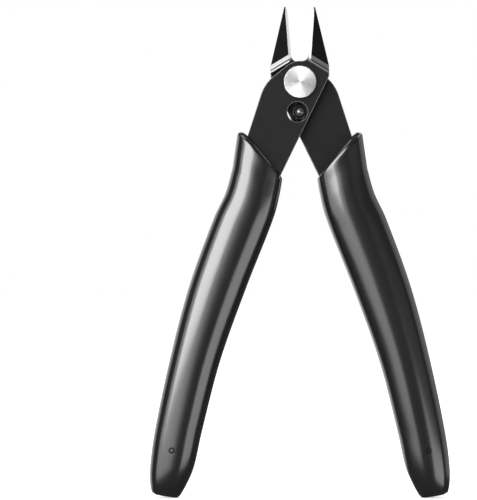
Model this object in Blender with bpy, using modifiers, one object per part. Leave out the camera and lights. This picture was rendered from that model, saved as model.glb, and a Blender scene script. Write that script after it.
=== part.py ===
"""Sprue nippers: two stamped steel halves on one rivet, a small coil return spring and dipped grips.

Metres, +Z up, front towards -Y. The tool stands on the ends of its open handles, jaws up, and the
origin is on the floor midway between the feet. The rivet's axis runs along Y above the origin.
"""

from math import atan2, copysign, cos, pi, radians, sin, tan

import bmesh
import bpy
from mathutils import Matrix, Vector

# Overall
PIVOT_HEIGHT = 0.1041        # floor to rivet axis
JAW_REACH = 0.0191           # rivet axis to jaw tip
FOOT_SPREAD = 0.0335         # centre plane to the middle of each foot

# Steel halves
PLATE_THICKNESS = 0.0025
PLATE_GAP = 0.0003           # between the two plates
HUB_RADIUS = 0.0053          # rounded shoulder and notch floor, about the rivet
SHOULDER_ANGLE = radians(39) # slope of the shoulder below the hub's round
SHOULDER_BLEND = 0.0098      # radius from the shoulder into the outer edge
OUTER_EDGE_OFFSET = 0.00835  # rivet axis to the straight outer edge
OUTER_EDGE_ANGLE = radians(17.9)
INNER_EDGE_OFFSET = 0.0059   # rivet axis to the straight inner edge
INNER_EDGE_ANGLE = radians(26)
NECK_HALF_WIDTH = 0.0073     # outer side of the jaw where it leaves the plate
NOTCH_CORNER = 0.0017        # fillet between notch floor and jaw
WEB_WIDTH = 0.0005           # the fillet's web, measured into the jaw
WEB_INSET = 0.0001           # its edge, back from the cutting edge
HUB_STEPS = 12               # straight steps in the hub's, the shoulder's and the notch's arcs
SHOULDER_STEPS = 8
NOTCH_STEPS = 6

# Jaws
HEEL_SLOPE = radians(31)     # heel and ridge fall outwards
HEEL_CLEARANCE = 0.0004      # the heel passes over the other half's hub with this much room
JAW_HALF_GAP = 0.0021        # centre plane to cutting edge at its root
HEEL_HEIGHT = (HUB_RADIUS + HEEL_CLEARANCE) / cos(HEEL_SLOPE) - JAW_HALF_GAP * tan(HEEL_SLOPE)
RAMP_HEIGHT = 0.0019         # heel up to the start of the jaw's front face
RAMP_DROP = 0.0008           # and how far the front falls back over that height
RIDGE_HEIGHT = HEEL_HEIGHT + RAMP_HEIGHT
FLUSH_WIDTH = 0.0006         # ground strip along the cutting edge
FLUSH_DEPTH = 0.00025
ROOT_PROUD = 0.00005         # the jaw's root is this much thicker than the plates, on both faces
ROOT_OVERLAP = 0.00005       # the plate runs this far into the jaw's root
HEAD_ANGLE = radians(14)     # front of the jaws leans back
RELIEF_ANGLE = radians(14)   # back of the cutting edge
RELIEF_SHARE = 0.7           # of the jaw's width at most
TIP_WIDTH = 0.0005
CLOSING_ANGLE = radians(20)  # between open and tips together
RADIAL_EDGE = 0.0022         # length at the tip that meets flush

# Rivet
HEAD_RADIUS = 0.0041
HEAD_THICKNESS = 0.0006
COLLAR_RADIUS = 0.0036
COLLAR_THICKNESS = 0.0006
SHANK_RADIUS = 0.0023
TAIL_RADIUS = 0.0016
RUNNING_CLEARANCE = 0.0001
RESTING_GAP = 0.0003

# Return spring, halfway between the two halves
SPRING_DROP = 0.00745        # below the rivet axis
COIL_RADIUS = 0.0016
WIRE_RADIUS = 0.0002
COIL_TURNS = 3               # whole turns between the two legs
COIL_POINTS = 20             # per turn
COIL_CLEARANCE = 0.0001      # round the coil in the pockets
PIN_CLEARANCE = 0.0002       # between the pin's head and the coil
PIN_NECK = 0.0003            # pin's neck smaller than its head
PIN_HEAD_RADIUS = COIL_RADIUS - WIRE_RADIUS - PIN_CLEARANCE
PIN_RADIUS = PIN_HEAD_RADIUS - PIN_NECK
PIN_RECESS = 0.0002          # dome below the front plate's face
LEG_LENGTH = 0.0032          # short enough to stay between the plates
LEG_ANGLE = radians(30)      # each leg runs down along its own half's handle
LEG_DEPTH = 0.00075          # leg's centre line, in from the half's inner face
LEG_CLEARANCE = 0.0002
POCKET_OFFSET = SPRING_DROP * tan(CLOSING_ANGLE / 4)  # the coil crosses its pocket as the tool closes
POCKET_RADIUS = COIL_RADIUS + WIRE_RADIUS + POCKET_OFFSET + COIL_CLEARANCE
POCKET_FLOOR_CLEARANCE = 0.00015
POCKET_DEPTH = LEG_DEPTH + WIRE_RADIUS + LEG_CLEARANCE + POCKET_FLOOR_CLEARANCE

# Grips
NECK_DROP = 0.0215           # rivet axis down to the grip's neck
NECK_WALL = 0.00055          # beside the plate's two straight edges
NECK_FLARE = 0.0008          # grip widens by this much just below its neck
MOUTH_SLOPE = radians(50.4)  # the mouth is cut on a slant
MOUTH_INNER = (0.0042, 0.0243)  # out from the centre plane, down from the rivet axis
EDGE_DROP = 0.0155           # the straight outer edge ends here, inside the grip
GRIP_LIP = 0.0105            # grip's body above its neck, before the slanted cut
LIP_LEAN = 0.0015            # and how far it leans in over that height
TANG_CLEARANCE = 0.0003
TANG_START = 0.03            # shares of the way from neck to foot
TANG_END = 0.86
TANG_TOP_WIDTH = 0.0088
TANG_END_WIDTH = 0.0052
TANG_END_CORNERS = 4         # its end is cut at this share of its width
TANG_STEPS = 7
SECTION_POINTS = 22
SECTION_POWER = 2.5
GRIP_STEPS = 26

FRONT = -1
REAR = 1
OUTSIDE = PLATE_GAP / 2 + PLATE_THICKNESS


def clear_scene():
    for obj in list(bpy.data.objects):
        bpy.data.objects.remove(obj, do_unlink=True)


def new_collection(name):
    collection = bpy.data.collections.new(name)
    bpy.context.scene.collection.children.link(collection)
    return collection


def material(name, colour, roughness, metallic):
    result = bpy.data.materials.new(name)
    result.use_nodes = True
    shader = result.node_tree.nodes["Principled BSDF"]
    shader.inputs["Base Color"].default_value = (*colour, 1)
    shader.inputs["Roughness"].default_value = roughness
    shader.inputs["Metallic"].default_value = metallic
    return result


def finished(name, mesh, collection, finish=None, smooth=True):
    obj = bpy.data.objects.new(name, mesh)
    collection.objects.link(obj)
    if finish:
        mesh.materials.clear()
        mesh.materials.append(finish)
    if smooth:
        mesh.shade_smooth()
        mesh.set_sharp_from_angle(angle=radians(35))
    return obj


def as_cutter(obj):
    obj.hide_render = True
    obj.display_type = "WIRE"
    return obj


def boolean(obj, other, operation):
    modifier = obj.modifiers.new(operation.lower(), "BOOLEAN")
    modifier.operation = operation
    modifier.object = other
    modifier.solver = "EXACT"


def set_origin(obj, point):
    """Moves the object's origin without moving its shape."""
    obj.data.transform(Matrix.Translation(-point))
    obj.location = point


def above_pivot(x, z):
    return (x, PIVOT_HEIGHT + z)


def plate_from_outline(name, outline, y_low, y_high, collection):
    """A flat plate in the XZ plane between two Y values, from a closed outline."""
    curve = bpy.data.curves.new(name, "CURVE")
    curve.dimensions = "2D"
    curve.fill_mode = "BOTH"
    curve.extrude = (y_high - y_low) / 2
    spline = curve.splines.new("POLY")
    spline.points.add(len(outline) - 1)
    for point, (x, z) in zip(spline.points, outline):
        point.co = (x, z, 0, 1)
    spline.use_cyclic_u = True
    flat = bpy.data.objects.new(name + "_outline", curve)
    flat.rotation_euler = (pi / 2, 0, 0)
    flat.location = (0, (y_low + y_high) / 2, 0)
    collection.objects.link(flat)
    bpy.context.view_layer.update()
    evaluated = flat.evaluated_get(bpy.context.evaluated_depsgraph_get())
    mesh = bpy.data.meshes.new_from_object(evaluated)
    mesh.transform(flat.matrix_world)
    bpy.data.objects.remove(flat)
    work = bmesh.new()
    work.from_mesh(mesh)
    bmesh.ops.remove_doubles(work, verts=work.verts, dist=1e-6)
    bmesh.ops.recalc_face_normals(work, faces=work.faces)
    work.to_mesh(mesh)
    work.free()
    return mesh


def cylinder_mesh(name, radius, y_low, y_high, x, z, segments=48):
    mesh = bpy.data.meshes.new(name)
    work = bmesh.new()
    place = Matrix.Translation((x, (y_low + y_high) / 2, z)) @ Matrix.Rotation(pi / 2, 4, "X")
    bmesh.ops.create_cone(work, cap_ends=True, segments=segments, radius1=radius,
                          radius2=radius, depth=y_high - y_low, matrix=place)
    work.to_mesh(mesh)
    work.free()
    return mesh


def box_mesh(name, low, high, turn=None):
    """A box between two corners, then turned by a matrix."""
    mesh = bpy.data.meshes.new(name)
    work = bmesh.new()
    low, high = Vector(low), Vector(high)
    size = Matrix.Diagonal((*(high - low), 1))
    bmesh.ops.create_cube(work, size=1, matrix=Matrix.Translation((low + high) / 2) @ size)
    if turn:
        bmesh.ops.transform(work, matrix=turn, verts=work.verts)
    work.to_mesh(mesh)
    work.free()
    return mesh


def loft_mesh(name, sections):
    """A closed solid through sections that have the same number of points."""
    mesh = bpy.data.meshes.new(name)
    work = bmesh.new()
    rings = [[work.verts.new(point) for point in section] for section in sections]
    count = len(rings[0])
    for lower, upper in zip(rings, rings[1:]):
        for k in range(count):
            after = (k + 1) % count
            work.faces.new((lower[k], lower[after], upper[after], upper[k]))
    work.faces.new(list(reversed(rings[0])))
    work.faces.new(rings[-1])
    bmesh.ops.triangulate(work, faces=work.faces)
    bmesh.ops.recalc_face_normals(work, faces=work.faces)
    work.to_mesh(mesh)
    work.free()
    return mesh


def turned(name, profile, centre, collection, finish, steps=48):
    """A turned piece on an axis along Y: the profile is (radius, y) from one face to the other."""
    mesh = bpy.data.meshes.new(name)
    work = bmesh.new()
    points = [work.verts.new((radius, 0, y)) for radius, y in profile]
    for first, second in zip(points, points[1:]):
        work.edges.new((first, second))
    work.to_mesh(mesh)
    work.free()
    obj = finished(name, mesh, collection, finish, smooth=False)
    obj.location = centre
    obj.rotation_euler = (pi / 2, 0, 0)
    screw = obj.modifiers.new("turn", "SCREW")
    screw.axis = "Z"
    screw.steps = steps
    screw.render_steps = steps
    screw.use_merge_vertices = True
    screw.merge_threshold = 1e-5
    screw.use_smooth_shade = False
    return obj


def spline_at(stations, share):
    """Smooth values between stations, whose first entry is the share along."""
    last = len(stations) - 2
    k = 0
    while k < last and share > stations[k + 1][0]:
        k += 1
    before = stations[max(k - 1, 0)]
    start, end = stations[k], stations[k + 1]
    after = stations[min(k + 2, len(stations) - 1)]
    length = end[0] - start[0]
    t = (share - start[0]) / length
    values = []
    for column in range(1, len(start)):
        slope_in = (end[column] - before[column]) / (end[0] - before[0]) * length
        slope_out = (after[column] - start[column]) / (after[0] - start[0]) * length
        values.append(
            (2 * t**3 - 3 * t**2 + 1) * start[column]
            + (t**3 - 2 * t**2 + t) * slope_in
            + (3 * t**2 - 2 * t**3) * end[column]
            + (t**3 - t**2) * slope_out
        )
    return values


def edge_line(offset, angle, height):
    """How far out a straight plate edge is, at a height from the rivet axis."""
    return (offset - height * sin(angle)) / cos(angle)


def crossing(first, first_way, second, second_way):
    """The point where two lines in the XZ plane meet."""
    (ax, az), (dx, dz), (bx, bz), (ex, ez) = first, first_way, second, second_way
    along = ((bx - ax) * ez - (bz - az) * ex) / (dx * ez - dz * ex)
    return ax + dx * along, az + dz * along


def blend_arc(corner, way_in, way_out, radius, steps):
    """An arc that rounds the corner between two directions of travel."""
    turn = atan2(way_in[0] * way_out[1] - way_in[1] * way_out[0],
                 way_in[0] * way_out[0] + way_in[1] * way_out[1])
    reach = radius * tan(abs(turn) / 2)
    side = copysign(1, turn)
    start = (corner[0] - way_in[0] * reach, corner[1] - way_in[1] * reach)
    centre = (start[0] - way_in[1] * radius * side, start[1] + way_in[0] * radius * side)
    points = []
    for k in range(steps + 1):
        angle = turn * k / steps
        dx, dz = start[0] - centre[0], start[1] - centre[1]
        points.append((centre[0] + dx * cos(angle) - dz * sin(angle),
                       centre[1] + dx * sin(angle) + dz * cos(angle)))
    return points


def neck_sides():
    """The plate's two straight edges at the grip's neck, inner and outer, on the +X side."""
    inner = -edge_line(INNER_EDGE_OFFSET, -INNER_EDGE_ANGLE, -NECK_DROP)
    return inner, edge_line(OUTER_EDGE_OFFSET, OUTER_EDGE_ANGLE, -NECK_DROP)


def grip_stations():
    """Share of the way down, share of the way out, width, and wall in front of the plates."""
    inner, outer = neck_sides()
    neck = outer - inner + 2 * NECK_WALL
    return [
        (0.000, 0.027, neck, 0.00195),
        (0.075, 0.085, neck + NECK_FLARE, 0.0021),
        (0.150, 0.179, 0.0150, 0.0022),
        (0.360, 0.455, 0.0145, 0.00225),
        (0.580, 0.693, 0.0128, 0.00215),
        (0.800, 0.873, 0.0119, 0.00195),
        (0.910, 0.941, 0.0110, 0.00175),
        (0.965, 0.981, 0.0089, 0.00125),
        (1.000, 1.000, 0.0064, 0.00045),
    ]


def handle_at(share):
    """Centre out from the middle, height, width and thickness of a grip at a share of its way down."""
    out, width, wall = spline_at(grip_stations(), share)
    neck_centre = sum(neck_sides()) / 2
    x = neck_centre + (FOOT_SPREAD - neck_centre) * out
    z = (PIVOT_HEIGHT - NECK_DROP) * (1 - share)
    return x, z, width, 2 * (OUTSIDE + wall)


def tang_sides(extra=0.0):
    """The tang's outer side going down and inner side going up, for the handle on the +X side."""
    outer, inner = [], []
    for k in range(TANG_STEPS + 1):
        way = k / TANG_STEPS
        share = TANG_START + (TANG_END - TANG_START) * way
        half = (TANG_TOP_WIDTH + (TANG_END_WIDTH - TANG_TOP_WIDTH) * way) / 2 + extra
        x, z, _, _ = handle_at(share)
        outer.append((x + half, z))
        if k:
            inner.append((x - half, z))
    end_x, end_z, _, _ = handle_at(TANG_END)
    corner = TANG_END_WIDTH / TANG_END_CORNERS
    foot = [(end_x + corner, end_z - corner - extra), (end_x - corner, end_z - corner - extra)]
    return outer, foot, list(reversed(inner))


def head_outline():
    """The plate of the half whose handle is on the -X side and whose jaw is on the +X side."""
    outline = []
    for k in range(HUB_STEPS + 1):
        angle = SHOULDER_ANGLE * k / HUB_STEPS
        outline.append(above_pivot(-HUB_RADIUS * sin(angle), HUB_RADIUS * cos(angle)))
    shoulder_way = (-cos(SHOULDER_ANGLE), -sin(SHOULDER_ANGLE))
    outer_way = (-sin(OUTER_EDGE_ANGLE), -cos(OUTER_EDGE_ANGLE))
    outer_point = above_pivot(-edge_line(OUTER_EDGE_OFFSET, OUTER_EDGE_ANGLE, 0), 0)
    corner = crossing(outline[-1], shoulder_way, outer_point, outer_way)
    outline += blend_arc(corner, shoulder_way, outer_way, SHOULDER_BLEND, SHOULDER_STEPS)
    drop = -EDGE_DROP
    outline.append(above_pivot(-edge_line(OUTER_EDGE_OFFSET, OUTER_EDGE_ANGLE, drop), drop))
    outer, foot, inner = tang_sides()
    outline += [(-x, z) for x, z in outer + foot + inner]
    drop = -MOUTH_INNER[1]
    outline.append(above_pivot(edge_line(INNER_EDGE_OFFSET, -INNER_EDGE_ANGLE, drop), drop))
    rise = (NECK_HALF_WIDTH * cos(INNER_EDGE_ANGLE) - INNER_EDGE_OFFSET) / sin(INNER_EDGE_ANGLE)
    outline.append(above_pivot(NECK_HALF_WIDTH, rise))
    top = HEEL_HEIGHT + ROOT_OVERLAP
    for x in (NECK_HALF_WIDTH, JAW_HALF_GAP + WEB_WIDTH):
        outline.append(above_pivot(x, heel_line(top, x)))
    corner = above_pivot(JAW_HALF_GAP + WEB_INSET, HUB_RADIUS)
    outline += blend_arc(corner, (0, -1), (-1, 0), NOTCH_CORNER, NOTCH_STEPS)
    return outline


def heel_line(height, x):
    """Height above the rivet axis, at x, of a line that falls outwards from the jaw's root."""
    return height - (x - JAW_HALF_GAP) * tan(HEEL_SLOPE)


def mirrored(points, side):
    return [(x * side, z) for x, z in points]


def jaw_section(height, inner, outer, front, back, drop):
    """Five points round the +X jaw at a height: outer front, inner front, cutting edge, back."""
    flush = min(FLUSH_WIDTH, (outer - inner) / 2)
    relief = min((back - front) * tan(RELIEF_ANGLE), (outer - inner) * RELIEF_SHARE)
    return [
        (outer, front, height - drop),
        (inner + flush, front, height),
        (inner, front + FLUSH_DEPTH, height),
        (inner + relief, back, height),
        (outer, back, height - drop),
    ]


def jaw_sections():
    """Heel, ridge, edge and tip sections of the +X jaw, seen from the front."""
    front = -OUTSIDE - ROOT_PROUD
    back = OUTSIDE + ROOT_PROUD
    fall = (NECK_HALF_WIDTH - JAW_HALF_GAP) * tan(HEEL_SLOPE)
    heel = jaw_section(HEEL_HEIGHT, JAW_HALF_GAP, NECK_HALF_WIDTH, front, back, fall)
    heel[3] = (JAW_HALF_GAP, back, HEEL_HEIGHT)
    front += RAMP_DROP
    sections = [heel, jaw_section(RIDGE_HEIGHT, JAW_HALF_GAP, NECK_HALF_WIDTH, front, back, fall)]
    tip_edge = JAW_REACH * tan(CLOSING_ANGLE / 2)
    for height in (JAW_REACH - RADIAL_EDGE, JAW_REACH):
        rise = (height - RIDGE_HEIGHT) / (JAW_REACH - RIDGE_HEIGHT)
        outer = NECK_HALF_WIDTH + (tip_edge + TIP_WIDTH - NECK_HALF_WIDTH) * rise
        lean = (height - RIDGE_HEIGHT) * tan(HEAD_ANGLE)
        inner = height * tan(CLOSING_ANGLE / 2)
        sections.append(jaw_section(height, inner, outer, front + lean, back, 0))
    return sections


def steel_half(name, layer, parts, cutters, finish):
    """One stamped half: plate, tang and jaw in one piece of steel."""
    side = -layer
    y_low, y_high = sorted((layer * PLATE_GAP / 2, layer * OUTSIDE))
    mesh = plate_from_outline(name, mirrored(head_outline(), side), y_low, y_high, parts)
    half = finished(name, mesh, parts, finish)
    sections = [
        [(x * side, y, PIVOT_HEIGHT + z) for x, y, z in section]
        for section in jaw_sections()
    ]
    jaw = finished(name + "_jaw", loft_mesh(name + "_jaw", sections), cutters, finish, smooth=False)
    boolean(half, as_cutter(jaw), "UNION")
    bore_mesh = cylinder_mesh(name + "_bore", SHANK_RADIUS + RUNNING_CLEARANCE,
                              y_low - PLATE_GAP, y_high + PLATE_GAP, 0, PIVOT_HEIGHT)
    boolean(half, as_cutter(finished(name + "_bore", bore_mesh, cutters, smooth=False)), "DIFFERENCE")
    floor = y_high + PLATE_GAP if layer == FRONT else y_low + POCKET_DEPTH
    pocket_mesh = cylinder_mesh(name + "_pocket", POCKET_RADIUS, y_low - PLATE_GAP, floor,
                                layer * POCKET_OFFSET, PIVOT_HEIGHT - SPRING_DROP)
    pocket = finished(name + "_pocket", pocket_mesh, cutters, smooth=False)
    boolean(half, as_cutter(pocket), "DIFFERENCE")
    groove_mesh = leg_groove(name + "_groove", layer)
    groove = finished(name + "_groove", groove_mesh, cutters, smooth=False)
    boolean(half, as_cutter(groove), "DIFFERENCE")
    set_origin(half, Vector((0, 0, PIVOT_HEIGHT)))
    return half


def leg_direction(layer):
    return layer * sin(LEG_ANGLE), -cos(LEG_ANGLE)


def leg_depth(layer):
    return layer * (PLATE_GAP / 2 + LEG_DEPTH)


def leg_groove(name, layer):
    """The groove for the spring's leg, cut in the half's inner face from the pocket outwards."""
    x_way, z_way = leg_direction(layer)
    width = WIRE_RADIUS + LEG_CLEARANCE
    y_low, y_high = sorted((0, leg_depth(layer) + layer * width))
    turn = Matrix.Translation((0, 0, PIVOT_HEIGHT - SPRING_DROP))
    turn = turn @ Matrix.Rotation(atan2(x_way, z_way), 4, "Y")
    start = COIL_RADIUS * layer
    length = LEG_LENGTH + LEG_CLEARANCE
    return box_mesh(name, (start - width, y_low, 0), (start + width, y_high, length), turn)


def pivot_rivet(parts, finish):
    """A wide spun head, the bearing shank, and a thin tail that the collar is closed on."""
    face = -OUTSIDE - RESTING_GAP - HEAD_THICKNESS
    shank_end = OUTSIDE + RESTING_GAP / 2
    tail_end = OUTSIDE + RESTING_GAP + COLLAR_THICKNESS
    chamfer = HEAD_THICKNESS / 4
    profile = [
        (0, face), (HEAD_RADIUS - chamfer, face), (HEAD_RADIUS, face + chamfer),
        (HEAD_RADIUS, -OUTSIDE - RESTING_GAP), (SHANK_RADIUS, -OUTSIDE - RESTING_GAP),
        (SHANK_RADIUS, shank_end), (TAIL_RADIUS, shank_end), (TAIL_RADIUS, tail_end), (0, tail_end),
    ]
    profile = [(radius, -y) for radius, y in profile]
    return turned("pivot_rivet", profile, (0, 0, PIVOT_HEIGHT), parts, finish)


def pivot_collar(parts, finish):
    """The ring that holds the rivet's tail at the back."""
    low = OUTSIDE + RESTING_GAP
    high = low + COLLAR_THICKNESS
    bore = TAIL_RADIUS + RUNNING_CLEARANCE
    chamfer = COLLAR_THICKNESS / 4
    profile = [
        (bore, low), (COLLAR_RADIUS, low), (COLLAR_RADIUS, high - chamfer),
        (COLLAR_RADIUS - chamfer, high), (bore, high), (bore, low),
    ]
    profile = [(radius, -y) for radius, y in profile]
    return turned("pivot_collar", profile, (0, 0, PIVOT_HEIGHT), parts, finish)


def spring_pin(parts, finish):
    """A domed pin through the coil that keeps it upright in the two pockets."""
    top = -OUTSIDE + PIN_RECESS
    foot = PLATE_GAP / 2 + POCKET_DEPTH - RESTING_GAP
    profile = []
    for k in range(7):
        angle = pi / 2 * k / 6
        profile.append((PIN_HEAD_RADIUS * sin(angle), top + PIN_HEAD_RADIUS * (1 - cos(angle))))
    under = profile[-1][1] + PIN_HEAD_RADIUS - PIN_RADIUS
    profile += [(PIN_RADIUS, under), (PIN_RADIUS, foot), (0, foot)]
    profile = [(radius, -y) for radius, y in profile]
    centre = (0, 0, PIVOT_HEIGHT - SPRING_DROP)
    pin = turned("spring_pin", profile, centre, parts, finish, steps=24)
    return pin


def return_spring(parts, finish):
    """Round wire wound round the pin, with a straight leg at each end in its half's groove."""
    first = -LEG_ANGLE
    last = pi + LEG_ANGLE + 2 * pi * COIL_TURNS
    steps = round(COIL_POINTS * (last - first) / (2 * pi))
    coil = []
    for k in range(steps + 1):
        angle = first + (last - first) * k / steps
        y = leg_depth(FRONT) + (leg_depth(REAR) - leg_depth(FRONT)) * k / steps
        coil.append((COIL_RADIUS * cos(angle), y, COIL_RADIUS * sin(angle)))
    ends = []
    for layer, (x, y, z) in ((FRONT, coil[0]), (REAR, coil[-1])):
        x_way, z_way = leg_direction(layer)
        ends.append((x + x_way * LEG_LENGTH, y, z + z_way * LEG_LENGTH))
    points = [ends[0]] + coil + [ends[1]]
    curve = bpy.data.curves.new("return_spring", "CURVE")
    curve.dimensions = "3D"
    curve.bevel_depth = WIRE_RADIUS
    curve.bevel_resolution = 2
    curve.use_fill_caps = True
    spline = curve.splines.new("POLY")
    spline.points.add(len(points) - 1)
    for point, place in zip(spline.points, points):
        point.co = (*place, 1)
    obj = bpy.data.objects.new("return_spring", curve)
    curve.materials.append(finish)
    obj.location = (0, 0, PIVOT_HEIGHT - SPRING_DROP)
    parts.objects.link(obj)
    return obj


def tang_cavity(side, layer):
    """The outline of the tang and its plate, grown by the clearance, as a cutter for the grip."""
    above = -EDGE_DROP / 2
    outer, foot, inner = tang_sides(TANG_CLEARANCE)
    wide = OUTER_EDGE_OFFSET + TANG_CLEARANCE
    near = INNER_EDGE_OFFSET + TANG_CLEARANCE
    inner_ends = (-MOUTH_INNER[1], above)
    outer_ends = (above, -EDGE_DROP)
    top = [above_pivot(-edge_line(near, -INNER_EDGE_ANGLE, z), z) for z in inner_ends]
    top += [above_pivot(edge_line(wide, OUTER_EDGE_ANGLE, z), z) for z in outer_ends]
    outline = mirrored(outer + foot + inner + top, side)
    y_low, y_high = sorted((layer * PLATE_GAP / 2, layer * OUTSIDE))
    return outline, y_low - TANG_CLEARANCE, y_high + TANG_CLEARANCE


def grip_section(x, z, width, thickness):
    points = []
    for k in range(SECTION_POINTS):
        angle = 2 * pi * (k + 0.5) / SECTION_POINTS
        across = copysign(abs(cos(angle)) ** (2 / SECTION_POWER), cos(angle)) * width / 2
        deep = copysign(abs(sin(angle)) ** (2 / SECTION_POWER), sin(angle)) * thickness / 2
        points.append((x + across, deep, z))
    return points


def grip(name, side, layer, parts, cutters, finish):
    """A dipped sleeve round the tang, cut on a slant at its mouth and flat at its foot."""
    sections = []
    for k in range(GRIP_STEPS + 1):
        share = sin(pi / 2 * (1 - k / GRIP_STEPS))
        x, z, width, thickness = handle_at(share)
        sections.append(grip_section(x * side, z, width, thickness))
    x, z, width, thickness = handle_at(0)
    sections.append(grip_section((x - LIP_LEAN) * side, z + GRIP_LIP, width, thickness))
    obj = finished(name, loft_mesh(name, sections), parts, finish)
    mouth = Matrix.Translation((MOUTH_INNER[0] * side, 0, PIVOT_HEIGHT - MOUTH_INNER[1]))
    mouth = mouth @ Matrix.Rotation(-MOUTH_SLOPE * side, 4, "Y")
    reach = PIVOT_HEIGHT / 2
    slant_mesh = box_mesh(name + "_mouth", (-reach, -reach, 0), (reach, reach, reach), mouth)
    slant = finished(name + "_mouth", slant_mesh, cutters, smooth=False)
    boolean(obj, as_cutter(slant), "DIFFERENCE")
    outline, y_low, y_high = tang_cavity(side, layer)
    cavity_mesh = plate_from_outline(name + "_cavity", outline, y_low, y_high, cutters)
    cavity = finished(name + "_cavity", cavity_mesh, cutters, smooth=False)
    boolean(obj, as_cutter(cavity), "DIFFERENCE")
    set_origin(obj, Vector((0, 0, PIVOT_HEIGHT)))
    return obj


def build():
    clear_scene()
    parts = new_collection("sprue_nippers")
    cutters = new_collection("cutters")
    cutters.hide_render = True
    oxide = material("black_oxide_steel", (0.012, 0.012, 0.013), 0.35, 1.0)
    bright = material("spun_steel", (0.75, 0.75, 0.76), 0.3, 1.0)
    wire = material("dark_spring_steel", (0.05, 0.05, 0.055), 0.3, 1.0)
    vinyl = material("black_vinyl", (0.008, 0.008, 0.009), 0.2, 0.0)
    steel_half("front_half", FRONT, parts, cutters, oxide)
    steel_half("rear_half", REAR, parts, cutters, oxide)
    grip("left_grip", -1, FRONT, parts, cutters, vinyl)
    grip("right_grip", 1, REAR, parts, cutters, vinyl)
    pivot_rivet(parts, bright)
    pivot_collar(parts, bright)
    spring_pin(parts, wire)
    return_spring(parts, wire)


build()
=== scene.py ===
from math import atan2, copysign, cos, pi, radians, sin, tan

import bmesh
import bpy
from mathutils import Matrix, Vector


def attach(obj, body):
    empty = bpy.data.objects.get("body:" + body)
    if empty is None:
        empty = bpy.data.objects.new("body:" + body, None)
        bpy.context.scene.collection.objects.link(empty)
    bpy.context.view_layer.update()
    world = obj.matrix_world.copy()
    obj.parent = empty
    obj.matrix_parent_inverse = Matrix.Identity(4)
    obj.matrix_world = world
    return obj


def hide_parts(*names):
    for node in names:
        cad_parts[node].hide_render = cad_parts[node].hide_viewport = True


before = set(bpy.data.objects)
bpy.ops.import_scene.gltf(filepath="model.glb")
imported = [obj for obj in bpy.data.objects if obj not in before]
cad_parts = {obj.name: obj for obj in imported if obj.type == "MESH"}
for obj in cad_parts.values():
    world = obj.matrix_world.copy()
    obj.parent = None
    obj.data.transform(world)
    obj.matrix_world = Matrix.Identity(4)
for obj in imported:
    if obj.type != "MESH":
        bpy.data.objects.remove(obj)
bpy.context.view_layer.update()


# ---------------------------------------------------------------------------------------------
# The table: the nippers stand on their open handles on a white floor. A large soft box lights them
# from the left of the camera and a low one from the right, with cloths at the sides and overhead
# and boxes high, beside and behind for the rims.

CAMERA_PLACE = (-0.01538, -0.6972, 0.0621)
CAMERA_LENS = 200
FLOOR_HALF = 3.0
FLOOR_SHADE = 0.62
FLOOR_GLOW = 0.55
ROOM_WHITE = (1.0, 1.0, 1.0, 1)
ROOM_GREY = 0.08
LIT_POINT = Vector((0, 0, 0.06))

camera_data = bpy.data.cameras.new("camera")
camera_data.lens = CAMERA_LENS
camera_data.sensor_width = 36
camera_data.clip_start = 0.01
camera = bpy.data.objects.new("camera", camera_data)
camera.location = CAMERA_PLACE
camera.rotation_euler = (pi / 2, 0, 0)
bpy.context.scene.collection.objects.link(camera)
bpy.context.scene.camera = camera
bpy.context.scene.view_settings.view_transform = "Standard"

floor_mesh = bpy.data.meshes.new("floor")
floor_work = bmesh.new()
bmesh.ops.create_grid(floor_work, x_segments=4, y_segments=4, size=FLOOR_HALF)
floor_work.to_mesh(floor_mesh)
floor_work.free()
floor = bpy.data.objects.new("floor", floor_mesh)
bpy.context.scene.collection.objects.link(floor)
floor_paint = bpy.data.materials.new("white_floor")
floor_paint.use_nodes = True
floor_shader = floor_paint.node_tree.nodes["Principled BSDF"]
floor_shader.inputs["Base Color"].default_value = (FLOOR_SHADE, FLOOR_SHADE, FLOOR_SHADE, 1)
floor_shader.inputs["Emission Color"].default_value = (1, 1, 1, 1)
floor_shader.inputs["Emission Strength"].default_value = FLOOR_GLOW
floor_shader.inputs["Roughness"].default_value = 0.55
floor_mesh.materials.append(floor_paint)
floor.visible_glossy = False
floor.visible_shadow = False

room = bpy.data.worlds.new("white_room")
room.use_nodes = True
room_nodes = room.node_tree.nodes
room_links = room.node_tree.links
seen = room_nodes["Background"]
seen.inputs["Color"].default_value = ROOM_WHITE
lit = room_nodes.new("ShaderNodeBackground")
lit.inputs["Color"].default_value = (ROOM_GREY, ROOM_GREY, ROOM_GREY * 1.02, 1)
choice = room_nodes.new("ShaderNodeMixShader")
path = room_nodes.new("ShaderNodeLightPath")
either = room_nodes.new("ShaderNodeMath")
either.operation = "MAXIMUM"
room_links.new(path.outputs["Is Camera Ray"], either.inputs[0])
room_links.new(path.outputs["Is Diffuse Ray"], either.inputs[1])
room_links.new(either.outputs["Value"], choice.inputs["Fac"])
room_links.new(lit.outputs["Background"], choice.inputs[1])
room_links.new(seen.outputs["Background"], choice.inputs[2])
room_links.new(choice.outputs["Shader"], room_nodes["World Output"].inputs["Surface"])
bpy.context.scene.world = room


def soft_box(name, turn, rise, distance, wide, high, brightness):
    """A rectangular light round the nippers' middle. Directions, width and height are in degrees."""
    light = bpy.data.lights.new(name, "AREA")
    light.shape = "RECTANGLE"
    light.size = 2 * distance * tan(radians(wide / 2))
    light.size_y = 2 * distance * tan(radians(high / 2))
    light.energy = brightness * pi * light.size * light.size_y
    lamp = bpy.data.objects.new(name, light)
    way = Vector((sin(radians(turn)) * cos(radians(rise)), -cos(radians(turn)) * cos(radians(rise)),
                  sin(radians(rise))))
    lamp.location = LIT_POINT + way * distance
    lamp.rotation_euler = way.to_track_quat("Z", "Y").to_euler()
    lamp.visible_camera = False
    bpy.context.scene.collection.objects.link(lamp)
    return lamp


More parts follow.
